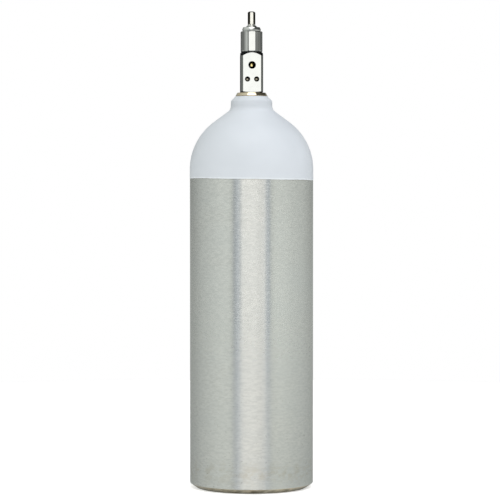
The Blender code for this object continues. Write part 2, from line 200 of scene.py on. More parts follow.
OVERRUN = 0.0020
SHELL_SEGMENTS = 192
TURNED_SEGMENTS = 96
HOLE_SEGMENTS = 48
MERGE = 0.000001  # corners closer than this are one
ON_LEVEL = 0.00001  # and a corner this near a flat lies on it
SHARP_ANGLE = math.radians(28)
MILLED_ANGLE = math.radians(50)
GLAND_ANGLE = math.radians(40)
ROUNDED_ANGLE = math.radians(20)  # an outline's corner that bends less stays as it is


# ---------------------------------------------------------------- geometry helpers


def link(obj):
    bpy.context.scene.collection.objects.link(obj)
    return obj


def arc(centre, radius, start, end, steps):
    """Points of an arc in the (radius, height) plane, both ends included."""
    turn = (end - start) / steps
    angles = [start + turn * i for i in range(steps + 1)]
    return [(centre[0] + radius * math.cos(a), centre[1] + radius * math.sin(a)) for a in angles]


def applied(obj):
    """Bakes an object's modifiers into its mesh."""
    bpy.context.view_layer.update()
    evaluated = obj.evaluated_get(bpy.context.evaluated_depsgraph_get())
    mesh = bpy.data.meshes.new_from_object(evaluated)
    obj.modifiers.clear()
    obj.data = mesh
    mesh.name = obj.name
    return obj


def turned(name, outline, segments=TURNED_SEGMENTS, ring=False):
    """Turns (radius, height) points about Z. The outline runs down its outer side."""
    mesh = bpy.data.meshes.new(name)
    edges = [(i, i + 1) for i in range(len(outline) - 1)]
    if ring:
        edges.append((len(outline) - 1, 0))
    mesh.from_pydata([(r, 0.0, z) for r, z in outline], edges, [])
    obj = link(bpy.data.objects.new(name, mesh))
    screw = obj.modifiers.new("turn", "SCREW")
    screw.steps = segments
    screw.render_steps = segments
    screw.use_merge_vertices = True
    screw.merge_threshold = MERGE
    return applied(obj)


def rounded(points, radius, steps=2, ring=False):
    """The outline with each corner that bends enough replaced by a small arc."""
    out = []
    count = len(points)
    for i, point in enumerate(points):
        if not ring and i in (0, count - 1):
            out.append(point)
            continue
        here = Vector(point)
        before = Vector(points[i - 1]) - here
        after = Vector(points[(i + 1) % count]) - here
        bend = math.pi - before.angle(after)
        if bend < ROUNDED_ANGLE:
            out.append(point)
            continue
        reach = min(radius * math.tan(bend / 2), before.length * 0.45, after.length * 0.45)
        first = here + before.normalized() * reach
        last = here + after.normalized() * reach
        for j in range(steps + 1):
            t = j / steps
            mixed = first * (1 - t) ** 2 + here * 2 * t * (1 - t) + last * t**2
            out.append((mixed.x, mixed.y))
    return out


def drill(obj, start, end, radius, tip_radius=None, segments=HOLE_SEGMENTS):
    """Cuts a round or tapered hole from start to end."""
    start = Vector(start)
    end = Vector(end)
    bm = bmesh.new()
    tip = radius if tip_radius is None else tip_radius
    length = (end - start).length
    bmesh.ops.create_cone(
        bm, cap_ends=True, segments=segments, radius1=radius, radius2=tip, depth=length
    )
    turn = (end - start).to_track_quat("Z", "Y").to_matrix().to_4x4()
    bmesh.ops.transform(bm, matrix=turn, verts=bm.verts)
    bmesh.ops.translate(bm, vec=(start + end) / 2, verts=bm.verts)
    subtract(obj, bm)


def mill(obj, low, high, turn=0.0):
    """Cuts away the box from low to high, turned about Z by an angle in radians."""
    low = Vector(low)
    high = Vector(high)
    bm = bmesh.new()
    bmesh.ops.create_cube(bm, size=1.0)
    bmesh.ops.scale(bm, vec=high - low, verts=bm.verts)
    bmesh.ops.translate(bm, vec=(low + high) / 2, verts=bm.verts)
    bmesh.ops.transform(bm, matrix=Matrix.Rotation(turn, 4, "Z"), verts=bm.verts)
    subtract(obj, bm)


def subtract(obj, bm):
    """Cuts a closed bmesh out of an object."""
    mesh = bpy.data.meshes.new("cutter")
    bm.to_mesh(mesh)
    bm.free()
    cutter = link(bpy.data.objects.new("cutter", mesh))
    boolean = obj.modifiers.new("cut", "BOOLEAN")
    boolean.operation = "DIFFERENCE"
    boolean.solver = "EXACT"
    boolean.object = cutter
    applied(obj)
    bpy.data.objects.remove(cutter, do_unlink=True)


def soften(obj):
    """Breaks the sharp edges and keeps the flats flat."""
    bevel = obj.modifiers.new("edges", "BEVEL")
    bevel.width = EDGE
    bevel.segments = 2
    bevel.limit_method = "ANGLE"
    bevel.angle_limit = SHARP_ANGLE
    bevel.use_clamp_overlap = True
    return even(without_slivers(applied(obj)))


def without_slivers(obj):
    """Takes out the faces of no width that a cut or a bevel leaves where edges meet."""
    work = bmesh.new()
    work.from_mesh(obj.data)
    bmesh.ops.dissolve_degenerate(work, dist=MERGE, edges=work.edges)
    work.to_mesh(obj.data)
    work.free()
    return obj


def even(obj):
    """Smooth shading that leaves the flats flat."""
    smooth(obj, MILLED_ANGLE)
    weighted = obj.modifiers.new("flat", "WEIGHTED_NORMAL")
    weighted.mode = "FACE_AREA"
    weighted.weight = 100
    weighted.keep_sharp = True
    return applied(obj)


def flatten(obj, way, level):
    """Gives every corner of the flat at that level, facing that way, the flat's own direction."""
    mesh = obj.data
    way = Vector(way)
    normals = [corner.vector.copy() for corner in mesh.corner_normals]
    for face in mesh.polygons:
        if all(mesh.vertices[index].co.dot(way) > level - ON_LEVEL for index in face.vertices):
            for index in face.loop_indices:
                normals[index] = way.copy()
    mesh.normals_split_custom_set(normals)


def smooth(obj, angle=SHARP_ANGLE):
    obj.data.shade_smooth()
    obj.data.set_sharp_from_angle(angle=angle)


def ridden(obj, body, cad_node):
    """Puts a finished piece in its CAD node's place."""
    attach(obj, body)
    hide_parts(cad_node)
    return obj


# ---------------------------------------------------------------- material helpers


def new_material(name):
    material = bpy.data.materials.new(name)
    material.use_nodes = True
    return material, material.node_tree


def shader_of(tree):
    return tree.nodes["Principled BSDF"]


def scaled_noise(tree, scale, detail=3.0, roughness=0.55):
    """Noise over object coordinates; scale is per metre along X, Y and Z."""
    place = tree.nodes.new("ShaderNodeTexCoord")
    stretch = tree.nodes.new("ShaderNodeMapping")
    stretch.inputs["Scale"].default_value = scale
    noise = tree.nodes.new("ShaderNodeTexNoise")
    noise.inputs["Scale"].default_value = 1.0
    noise.inputs["Detail"].default_value = detail
    noise.inputs["Roughness"].default_value = roughness
    tree.links.new(place.outputs["Object"], stretch.inputs["Vector"])
    tree.links.new(stretch.outputs["Vector"], noise.inputs["Vector"])
    return noise.outputs["Fac"]


def spread(tree, value, low, high, to_low, to_high):
    """Maps value from low..high to to_low..to_high, clamped."""
    remap = tree.nodes.new("ShaderNodeMapRange")
    remap.inputs["From Min"].default_value = low
    remap.inputs["From Max"].default_value = high
    remap.inputs["To Min"].default_value = to_low
    remap.inputs["To Max"].default_value = to_high
    tree.links.new(value, remap.inputs["Value"])
    return remap.outputs["Result"]


def ramp(tree, value, stops):
    """A colour ramp; stops are (place, colour) pairs."""
    made = tree.nodes.new("ShaderNodeValToRGB")
    elements = made.color_ramp.elements
    while len(elements) > 1:
        elements.remove(elements[-1])
    elements[0].position = stops[0][0]
    elements[0].color = (*stops[0][1], 1.0)
    for place, colour in stops[1:]:
        element = elements.new(place)
        element.color = (*colour, 1.0)
    tree.links.new(value, made.inputs["Fac"])
    return made.outputs["Color"]


def blend_colours(tree, fac, first, second, mode="MIX"):
    mix = tree.nodes.new("ShaderNodeMix")
    mix.data_type = "RGBA"
    mix.blend_type = mode
    connect(tree, fac, mix.inputs[0])
    connect(tree, first, mix.inputs[6])
    connect(tree, second, mix.inputs[7])
    return mix.outputs[2]


def connect(tree, value, socket):
    """A socket's value, from another node or as a constant."""
    if isinstance(value, bpy.types.NodeSocket):
        tree.links.new(value, socket)
    elif isinstance(value, (tuple, list)) and len(value) == 3:
        socket.default_value = (*value, 1.0)
    else:
        socket.default_value = value


def math_node(tree, operation, first, second=0.0):
    made = tree.nodes.new("ShaderNodeMath")
    made.operation = operation
    connect(tree, first, made.inputs[0])
    connect(tree, second, made.inputs[1])
    return made.outputs[0]


def bump(tree, height, strength, distance, below=None):
    made = tree.nodes.new("ShaderNodeBump")
    made.inputs["Strength"].default_value = strength
    made.inputs["Distance"].default_value = distance
    tree.links.new(height, made.inputs["Height"])
    if below is not None:
        tree.links.new(below, made.inputs["Normal"])
    return made.outputs["Normal"]


def smooth_band(tree, value, limits, edge=SOFT_EDGE):
    """1 between the limits, falling to 0 over a soft edge on each side."""
    low, high = limits
    rise = spread(tree, value, low - edge, low + edge, 0.0, 1.0)
    fall = spread(tree, value, high - edge, high + edge, 1.0, 0.0)
    return math_node(tree, "MULTIPLY", rise, fall)


def own_place(tree):
    """X, Y and Z in the object's own axes, in metres."""
    place = tree.nodes.new("ShaderNodeTexCoord")
    split = tree.nodes.new("ShaderNodeSeparateXYZ")
    tree.links.new(place.outputs["Object"], split.inputs[0])
    return split.outputs


def from_coat_edge(tree):
    """Height over the coat's slightly tilted lower edge, in metres."""
    place = own_place(tree)
    tilted = math_node(tree, "MULTIPLY", place["X"], COAT_TILT)
    level = math_node(tree, "ADD", place["Z"], tilted)
    return math_node(tree, "SUBTRACT", level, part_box("shoulder_coat")[0].z)


# ---------------------------------------------------------------- materials


def brushed_aluminium():
    """Bare metal brushed round the cylinder in short level strokes, scuffed at the base, with
    painted shade on the base chamfer and a painted shadow line under the coat's edge.
    """
    material, tree = new_material("brushed_aluminium")
    shader = shader_of(tree)
    strokes = scaled_noise(tree, (210, 210, 640), 2.0, 0.6)
    fine = scaled_noise(tree, (240, 240, 1700), 2.0)
    cloud = scaled_noise(tree, (16, 16, 28), 2.0)
    stroke_mix = spread(tree, strokes, 0.36, 0.64, 0.0, 1.0)
    base = blend_colours(tree, stroke_mix, (0.785, 0.795, 0.78), (0.925, 0.93, 0.91))
    cloudy = spread(tree, cloud, 0.35, 0.65, 0.0, 0.35)
    clouded = blend_colours(tree, cloudy, base, (0.82, 0.845, 0.845))
    height = own_place(tree)["Z"]
    worn_zone = smooth_band(tree, height, SCUFF_HEIGHTS, SCUFF_FADE)
    blotches = spread(tree, scaled_noise(tree, (110, 110, 190), 4.0, 0.7), 0.46, 0.62, 0.0, 0.6)
    blotched = math_node(tree, "MULTIPLY", worn_zone, blotches)
    scuffed = blend_colours(tree, blotched, clouded, (0.70, 0.68, 0.61))
    specks = spread(tree, scaled_noise(tree, (420, 420, 420), 2.0), 0.66, 0.72, 0.0, 0.4)
    low_zone = spread(tree, height, *SPECK_HEIGHTS, 1.0, 0.0)
    specked = math_node(tree, "MULTIPLY", specks, low_zone)
    speckled = blend_colours(tree, specked, scuffed, (0.36, 0.35, 0.31))
    # Painted shade: the base chamfer is coloured dark brown, darkest towards the floor, in uneven
    # streaks
    edge = spread(tree, height, *CHAMFER_FADE, 1.0, 0.0)
    shade_breakup = spread(tree, scaled_noise(tree, (60, 60, 60), 4.0, 0.65), 0.3, 0.65, 0.75, 1.0)
    streak = scaled_noise(tree, (150, 150, 900), 3.0, 0.6)
    streaks = spread(tree, streak, 0.38, 0.62, -BASE_SHADE_STREAK, BASE_SHADE_STREAK)
    streaked = math_node(tree, "ADD", height, streaks)
    base_shade_ramp = spread(tree, streaked, BASE_SHADE_DARKEST_Z, BASE_CHAMFER_H, 0.0, 1.0)
    base_shade_colour = blend_colours(tree, base_shade_ramp, (0.17, 0.15, 0.11), (0.80, 0.71, 0.58))
    # Painted shadow: a grey line on the bare wall just under the coat's edge
    coat_edge_shadow = spread(tree, from_coat_edge(tree), *MASK_SHADOW, 0.0, 0.55)
    shadow_lined = blend_colours(tree, coat_edge_shadow, speckled, (0.50, 0.49, 0.46))
    coloured = blend_colours(tree, math_node(tree, "MULTIPLY", edge, shade_breakup), shadow_lined, base_shade_colour)
    tree.links.new(coloured, shader.inputs["Base Color"])
    shader.inputs["Metallic"].default_value = 1.0
    rough = spread(tree, strokes, 0.3, 0.7, 0.23, 0.28)
    rougher = math_node(tree, "ADD", rough, math_node(tree, "MULTIPLY", low_zone, 0.11))
    tree.links.new(rougher, shader.inputs["Roughness"])
    shader.inputs["Anisotropic"].default_value = 1.0
    shader.inputs["Anisotropic Rotation"].default_value = 0.25
    tangent = tree.nodes.new("ShaderNodeTangent")
    tangent.direction_type = "RADIAL"
    tangent.axis = "Z"
    tree.links.new(tangent.outputs["Tangent"], shader.inputs["Tangent"])
    scratched = bump(tree, fine, 0.2, 0.00003)
    dimpled = bump(tree, strokes, 0.4, 0.00008, scratched)
    tree.links.new(dimpled, shader.inputs["Normal"])
    return material


def white_paint():
    """Semi-gloss white enamel with a faint orange peel and a painted highlight along its lower lip.
    """
    material, tree = new_material("white_paint")
    shader = shader_of(tree)
    cloud = scaled_noise(tree, (30, 30, 30), 2.0)
    clouded = spread(tree, cloud, 0.3, 0.7, 0, 1)
    tint = blend_colours(tree, clouded, (0.625, 0.655, 0.70), (0.65, 0.68, 0.725))
    # Painted highlight: lighter paint along the coat's lower lip
    lip = spread(tree, from_coat_edge(tree), *LIP_HIGHLIGHT, 1.0, 0.0)
    coloured = blend_colours(tree, lip, tint, (0.72, 0.75, 0.79))
    tree.links.new(coloured, shader.inputs["Base Color"])
    patches = scaled_noise(tree, (120, 120, 120), 3.0)
    tree.links.new(spread(tree, patches, 0.3, 0.7, 0.38, 0.46), shader.inputs["Roughness"])
    shader.inputs["Specular IOR Level"].default_value = 0.35
    peel = scaled_noise(tree, (700, 700, 700), 1.0)
    tree.links.new(bump(tree, peel, 0.12, 0.0001), shader.inputs["Normal"])
    return material


def plated(name, dark, light, rough_low, rough_high, grain, edge=1.0):
    """Polished or plated metal; grain is the per-metre scale of its machining marks."""
    material, tree = new_material(name)
    shader = shader_of(tree)
    shader.inputs["Specular Tint"].default_value = (edge, edge, edge, 1.0)
    cloud = scaled_noise(tree, (160, 160, 160), 4.0)
    tint = blend_colours(tree, spread(tree, cloud, 0.3, 0.7, 0, 1), dark, light)
    tree.links.new(tint, shader.inputs["Base Color"])
    shader.inputs["Metallic"].default_value = 1.0
    smudge = scaled_noise(tree, (260, 260, 260), 3.0)
    smudged = spread(tree, smudge, 0.3, 0.7, rough_low, rough_high)
    tree.links.new(smudged, shader.inputs["Roughness"])
    lines = scaled_noise(tree, grain, 2.0)
    tree.links.new(bump(tree, lines, 0.04, 0.00004), shader.inputs["Normal"])
    return material


def soft_solid(name, dark, light, roughness, scale, gloss=0.5):
    """Rubber or plastic with a mottled surface."""
    material, tree = new_material(name)
    shader = shader_of(tree)
    shader.inputs["Specular IOR Level"].default_value = gloss
    mottle = scaled_noise(tree, (scale, scale, scale), 4.0)
    tint = blend_colours(tree, spread(tree, mottle, 0.3, 0.7, 0, 1), dark, light)
    tree.links.new(tint, shader.inputs["Base Color"])
    mottled = spread(tree, mottle, 0.2, 0.8, roughness, roughness + 0.15)
    tree.links.new(mottled, shader.inputs["Roughness"])
    tree.links.new(bump(tree, mottle, 0.2, 0.00005), shader.inputs["Normal"])
    return material


# name: darkest and lightest colour, least and most roughness, scale of the marks, edge tint
PLATED = {
    "chrome": ((0.67, 0.68, 0.67), (0.72, 0.73, 0.72), 0.04, 0.09, (60, 60, 3000), 0.35),
    # Chrome painted darker as shade, for the post's sideways faces; a little rougher too
    "side_shaded_chrome": ((0.31, 0.32, 0.31), (0.35, 0.36, 0.35), 0.08, 0.14, (60, 60, 3000), 0.35),
    # Brass painted near black as shade, inside the port and pin holes
    "hole_shade_brass": ((0.012, 0.010, 0.007), (0.035, 0.029, 0.02), 0.35, 0.5, (500, 500, 500)),
    "hole_tip": ((0.46, 0.43, 0.34), (0.60, 0.56, 0.46), 0.35, 0.5, (500, 500, 500)),
    # Near black, painted as shade on the stem's round sides above its flats
    "stem_shade": ((0.012, 0.011, 0.007), (0.05, 0.046, 0.03), 0.2, 0.3, (80, 80, 2500), 0.1),
    "yellow_brass": ((0.76, 0.62, 0.26), (0.86, 0.73, 0.36), 0.10, 0.18, (500, 500, 500)),
    "bare_brass": ((0.66, 0.55, 0.39), (0.78, 0.69, 0.53), 0.07, 0.14, (80, 80, 2000)),
    "stem_brass": ((0.72, 0.71, 0.66), (0.78, 0.77, 0.72), 0.08, 0.14, (80, 80, 2000)),
    "nickel": ((0.56, 0.54, 0.50), (0.64, 0.62, 0.58), 0.2, 0.32, (900, 60, 900)),
    "copper": ((0.66, 0.34, 0.22), (0.76, 0.42, 0.28), 0.25, 0.4, (500, 500, 500)),
}

# name: darkest and lightest colour, roughness, scale of the mottle, gloss
SOFT_SOLIDS = {
    # Near black, painted as shade on the post's top and bottom cones
    "joint_shade": ((0.002, 0.002, 0.003), (0.008, 0.008, 0.009), 0.5, 1200, 0.05),
    "black_rubber": ((0.006, 0.006, 0.007), (0.016, 0.016, 0.017), 0.5, 900, 0.15),
    "nylon": ((0.68, 0.65, 0.55), (0.78, 0.75, 0.66), 0.4, 500),
    "white_ptfe": ((0.78, 0.78, 0.76), (0.86, 0.86, 0.85), 0.4, 500),
}


def make_materials():
    made = {"brushed_aluminium": brushed_aluminium(), "white_paint": white_paint()}
    made.update({name: plated(name, *values) for name, values in PLATED.items()})
    made.update({name: soft_solid(name, *values) for name, values in SOFT_SOLIDS.items()})
    return made


# ---------------------------------------------------------------- the cylinder


def shoulder_outline(radius, neck_top, inset):
    """The outside from the neck's top edge down to the straight wall, moved in by inset."""
    a = radius - inset
    b = DOME_H - inset
    neck = NECK_R - inset
    fillet = NECK_FILLET + inset
    steps = 28
    angles = [DOME_TURN * i / steps for i in range(steps + 1)]
    dome = [(a * math.cos(t), DOME_Z + b * math.sin(t)) for t in angles]
    start_r, start_z = dome[-1]
    lean = math.atan2(a * math.sin(DOME_TURN), b * math.cos(DOME_TURN))
    corner_z = start_z + (start_r - neck) / math.tan(lean)
    centre = (neck + fillet, corner_z + fillet * math.tan(lean / 2))
    into_neck = arc(centre, fillet, math.pi, math.pi + lean, 10)
    chamfer = NECK_R + neck_top - NECK_CHAMFER - inset * math.sqrt(2)
    top = [(chamfer - neck_top, neck_top), (neck, chamfer - neck)]
    return top + into_neck + dome[::-1]


def make_shell(material):
    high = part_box("cylinder_shell")[1]
    radius = high.x
    neck_top = high.z
    counterbore = neck_top - COUNTERBORE_DEPTH
    inner_bottom = neck_top - NECK_BORE_DEPTH
    inside = [
        (0.0, inner_bottom),
        (NECK_BORE_R, inner_bottom),
        (NECK_BORE_R, counterbore),
        (COUNTERBORE_R, counterbore),
        (COUNTERBORE_R, neck_top),
    ]
    outside = shoulder_outline(radius, neck_top, COAT_PROUD)
    outside[0] = (outside[0][0], neck_top)
    outside.append((radius, DOME_Z - WALL_STEP))
    rest_r = radius - BASE_CHAMFER_W
    corner = [
        (radius, DOME_Z - 2 * WALL_STEP),
        (radius, BASE_CHAMFER_H),
        (rest_r, 0.0),
        (DISH_R, 0.0),
    ]
    dish = [(rest_r, 0.0), (DISH_R, 0.0), (DISH_FLAT_R, DISH_DEPTH), (0.0, DISH_DEPTH)]
    base = rounded(corner, BASE_ROUNDING, 8)[:-1] + rounded(dish, DISH_ROUNDING, 4)[1:]
    outline = inside + outside + base
    shell = turned("oxygen_cylinder", outline, SHELL_SEGMENTS)
    smooth(shell)
    shell.data.materials.append(material)
    return ridden(shell, STATIC_BODY, "cylinder_shell")


def make_coat(material):
    """The white coat: its masked lower edge is a little tilted and a little raised."""
    low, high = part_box("shoulder_coat")
    radius = high.x
    edge_z = low.z
    line = shoulder_outline(radius, high.z, 0.0)
    outside = [(r + COAT_PROUD, z) for r, z in rounded(line, NECK_EDGE, 4)]
    outside[0] = (line[0][0], high.z + COAT_PROUD)
    lip = COAT_PROUD + COAT_LIP
    outside += [
        (radius + COAT_PROUD, edge_z + LIP_START),
        (radius + lip, edge_z + LIP_TOP),
        (radius + lip, edge_z + LIP_BOTTOM),
        (radius, edge_z),
    ]
    inner = [(r - COAT_UNDER, z) for r, z in line]
    inside = [(radius - COAT_UNDER, edge_z + COAT_UNDER)] + inner[::-1]
    coat = turned("white_shoulder", outside + inside, SHELL_SEGMENTS, ring=True)
    for vertex in coat.data.vertices:
        if vertex.co.z < DOME_Z - WALL_STEP / 2:
            vertex.co.z -= COAT_TILT * vertex.co.x
            around = math.atan2(vertex.co.y, vertex.co.x)
            vertex.co.z += MASK_WAVE * math.sin(around * MASK_WAVES)
    smooth(coat)
    coat.data.materials.append(material)
    return ridden(coat, STATIC_BODY, "shoulder_coat")


def make_washer(material):
    low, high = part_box("neck_washer")
    radius = high.x
    bore = SHANK_R + CLAMP_GAP
    outline = [
        (WASHER_TOP_R, high.z),
        (WASHER_STEP_R, WASHER_STEP_Z),
        (radius, WASHER_RIM_Z),
        (radius, low.z),
        (bore, low.z),
        (bore, high.z),
    ]
    outline = rounded(outline, WASHER_EDGE, 4, ring=True)
    washer = turned("brass_neck_washer", outline, ring=True)
    smooth(washer)
    washer.data.materials.append(material)
    return ridden(washer, STATIC_BODY, "neck_washer")


# ---------------------------------------------------------------- the valve


def make_valve_body(materials):
    low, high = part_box("valve_body")
    front = low.y
    back = high.y
    outside = [
        (CHAMBER_R, high.z),
        (SPIGOT_R, high.z),
        (SPIGOT_R, POST_TOP),
        (POST_TOP_R, POST_TOP),
        (BAR_R, POST_TOP - POST_TOP_CONE),
        (BAR_R, POST_BOTTOM + POST_BOTTOM_CONE),
        (POST_BOTTOM_R, POST_BOTTOM),
        (SHANK_R, POST_BOTTOM),
        (SHANK_R, low.z),
    ]
    inside = [(INLET_R, low.z), (INLET_R, CHAMBER_FLOOR), (CHAMBER_R, CHAMBER_FLOOR)]
    body = turned("valve_post", outside + inside, ring=True)
    reach = BAR_R + OVERRUN
    bottom = POST_BOTTOM - OVERRUN
    top = POST_TOP + OVERRUN
    mill(body, (-reach, -reach, bottom), (reach, front, top))
    mill(body, (-reach, -reach, bottom), (-SIDE_X, reach, top))
    mill(body, (SIDE_X, -reach, bottom), (reach, reach, top))
    slope = DIMPLE_R / DIMPLE_DEPTH
    floor = back - DIMPLE_DEPTH
    wide = DIMPLE_TIP_R + slope * (reach - floor)
    drill(body, (0, reach, PORT_Z), (0, floor, PORT_Z), wide, DIMPLE_TIP_R)
    drill(body, (0, reach, RELIEF_Z), (0, RELIEF_FACE_Y, RELIEF_Z), RELIEF_FACE_R)
    drill(body, (0, reach, RELIEF_Z), (0, RELIEF_FLOOR_Y, RELIEF_Z), RELIEF_HOLE_R)
    soften(body)
    passage = (-CHAMBER_R / 2 - front, PORT_PASSAGE_R)
    bore_hole(body, (0, PORT_Z), front, PORT_R, PORT_DEPTH, PORT_PASSAGE_R, [passage])
    pin_z = PORT_Z - PIN_CIRCLE * math.cos(PIN_ANGLE)
    pin_x = PIN_CIRCLE * math.sin(PIN_ANGLE)
    for x in (-pin_x, pin_x):
        bore_hole(body, (x, pin_z), front, PIN_R, PIN_DEPTH, PIN_TIP_R)
    even(without_slivers(body))
    for name in ("chrome", "joint_shade", "hole_shade_brass", "hole_tip", "side_shaded_chrome"):
        body.data.materials.append(materials[name])
    holes = [(0.0, PORT_Z, PORT_R), (-pin_x, pin_z, PIN_R), (pin_x, pin_z, PIN_R)]
    for face in body.data.polygons:
        face.material_index = post_finish(face, front, holes)
    flatten(body, (0, -1, 0), -front)
    return ridden(body, STATIC_BODY, "valve_body")


def bore_hole(body, place, front, radius, depth, tip_radius, beyond=()):
    """A countersunk hole with the drill's cone at its bottom.

    Steps beyond it are (depth, radius) pairs.
    """
    x, z = place
    cone = (radius - tip_radius) / math.tan(DRILL_HALF_ANGLE)
    steps = [
        (-EDGE, radius + 2 * EDGE),
        (EDGE, radius),
        (depth - cone, radius),
        (depth, tip_radius),
        *beyond,
    ]
    turns = [math.tau * i / HOLE_SEGMENTS for i in range(HOLE_SEGMENTS)]
    bm = bmesh.new()
    rings = []
    for down, wide in steps:
        ring = [(x + wide * math.cos(t), front + down, z + wide * math.sin(t)) for t in turns]
        rings.append([bm.verts.new(point) for point in ring])
    for near, far in zip(rings, rings[1:]):
        for i in range(HOLE_SEGMENTS):
            bm.faces.new((near[i - 1], near[i], far[i], far[i - 1]))
    bm.faces.new(rings[0])
    bm.faces.new(rings[-1])
    bmesh.ops.recalc_face_normals(bm, faces=bm.faces)
    subtract(body, bm)


def post_finish(face, front, holes):
    """A face's material: 0 plated, 1 painted shade on the joints' cones, 2 in a hole (painted
    shade), 3 at a pin hole's tip, 4 side (chrome with painted shade).
    """
    centre = face.center
    slope = abs(face.normal.z)
    # Painted shade: the post's top and bottom cones take a near-black finish
    top_joint = POST_TOP - POST_TOP_CONE - EDGE < centre.z < POST_TOP + EDGE and slope > 0.5
    bottom_joint = POST_BOTTOM - EDGE < centre.z < POST_BOTTOM + POST_BOTTOM_CONE and slope > 0.3
    if top_joint or bottom_joint:
        return 1
    # Painted shade: the walls and floors inside the holes are near black
    for x, z, radius in holes:
        away = math.hypot(centre.x - x, centre.z - z)
        if front + EDGE / 10 < centre.y < 0 and away < radius + 2 * EDGE:
            at_tip = centre.y > front + PIN_DEPTH - EDGE and radius == PIN_R
            return 3 if at_tip else 2
    on_post = POST_BOTTOM < centre.z < POST_TOP and math.hypot(centre.x, centre.y) > CHAMBER_R
    # Faces turned sideways on the post take the chrome painted darker as shade
    return 4 if on_post and abs(face.normal.x) > 0.3 else 0


def make_gasket(material):
    low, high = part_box("bonnet_gasket")
    inner = SPIGOT_R + CLAMP_GAP
    outline = [(high.x, high.z), (high.x, low.z), (inner, low.z), (inner, high.z)]
    gasket = turned("bonnet_seal", rounded(outline, GASKET_ROUNDING, 3, ring=True), ring=True)
    smooth(gasket)
    gasket.data.materials.append(material)
    return ridden(gasket, STATIC_BODY, "bonnet_gasket")


def make_bonnet(material):
    low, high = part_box("bonnet_nut")
    radius = BONNET_R
    outline = [
        (radius - BONNET_CHAMFER, high.z),
        (radius, high.z - BONNET_CHAMFER),
        (radius, low.z),
        (BONNET_BORE_R, low.z),
        (BONNET_BORE_R, BONNET_BORE_TOP),
        (COLLAR_ROOM_R, BONNET_BORE_TOP),
        (COLLAR_ROOM_R, COLLAR_ROOM_TOP),
        (RUN_R, COLLAR_ROOM_TOP),
        (RUN_R, PACKING_FLOOR),
        (PACKING_R, PACKING_FLOOR),
        (PACKING_R, high.z),
    ]
    nut = turned("bonnet_nut_fine", outline, ring=True)
    reach = 2 * radius
    flat = BONNET_ACROSS / 2
    bottom = low.z + BONNET_RIM
    for i in range(6):
        turn = math.radians(60 * i)
        mill(nut, (-reach, -reach, bottom), (reach, -flat, high.z + OVERRUN), turn)
    soften(nut)
    nut.data.materials.append(material)
    return ridden(nut, STATIC_BODY, "bonnet_nut")


def make_gland(material):
    low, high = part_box("gland_nut")
    radius = high.x
    outline = [(RUN_R, high.z), (GLAND_TOP_R, high.z)]
    for i in range(1, GLAND_CROWN_STEPS):
        turn = math.pi / 2 * i / GLAND_CROWN_STEPS
        r = GLAND_CROWN_R - (GLAND_CROWN_R - GLAND_TOP_R) * math.cos(turn)
        outline.append((r, high.z - (high.z - GLAND_RIM_TOP) * math.sin(turn)))
    outline += rounded(
        [
            (GLAND_CROWN_R - EDGE, GLAND_RIM_TOP),
            (GLAND_CROWN_R, GLAND_RIM_TOP),
            (radius, GLAND_SLOPE_Z),
            (radius, GLAND_RIM_BOTTOM),
            (GLAND_NECK_R, GLAND_RIM_BOTTOM),
            (GLAND_NECK_R, GLAND_SEAT),
            (GLAND_SHANK_R, GLAND_SEAT),
            (GLAND_SHANK_R, low.z),
            (RUN_R, low.z),
        ],
        EDGE,
        3,
    )
    nut = turned("gland_nut_fine", outline, ring=True)
    smooth(nut, GLAND_ANGLE)
    nut.data.materials.append(material)
    return ridden(nut, STATIC_BODY, "gland_nut")


def make_relief(material):
    """The relief plug: a vented hexagon head on a threaded shank, turned to face the back."""
    low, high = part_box("relief_plug")
    seat = RELIEF_FACE_Y + CLAMP_GAP
    bore_top = high.y - (high.y - seat) / 3
    half = RELIEF_ACROSS / 2
    corner = RELIEF_ACROSS / math.sqrt(3)
    shank = RELIEF_HOLE_R - CLAMP_GAP
    outline = [
        (0.0, high.y),
        (RELIEF_TOP_R, high.y),
        (corner, high.y - RELIEF_CHAMFER),
        (corner, seat),
        (shank, seat),
        (shank, low.y),
        (RELIEF_BORE_R, low.y),
        (RELIEF_BORE_R, bore_top),
        (0.0, bore_top),
    ]
    plug = turned("relief_plug_fine", rounded(outline, EDGE))
    reach = 2 * corner
    for i in range(6):
        turn = math.radians(60 * i)
        mill(plug, (-reach, -reach, seat - CLAMP_GAP / 2), (reach, -half, high.y + OVERRUN), turn)
    vent = (seat + high.y) / 2
    for i in range(3):
        turn = math.radians(60 * i)
        across = Vector((math.sin(turn), math.cos(turn), 0.0)) * reach
        middle = Vector((0.0, 0.0, vent))
        drill(plug, middle - across, middle + across, RELIEF_VENT_R, segments=24)
    to_back = Matrix.Rotation(-math.pi / 2, 4, "X")
    plug.data.transform(Matrix.Translation((0.0, 0.0, RELIEF_Z)) @ to_back)
    even(without_slivers(plug))
    flatten(plug, (0, 1, 0), high.y)
    plug.data.materials.append(material)
    return ridden(plug, STATIC_BODY, "relief_plug")


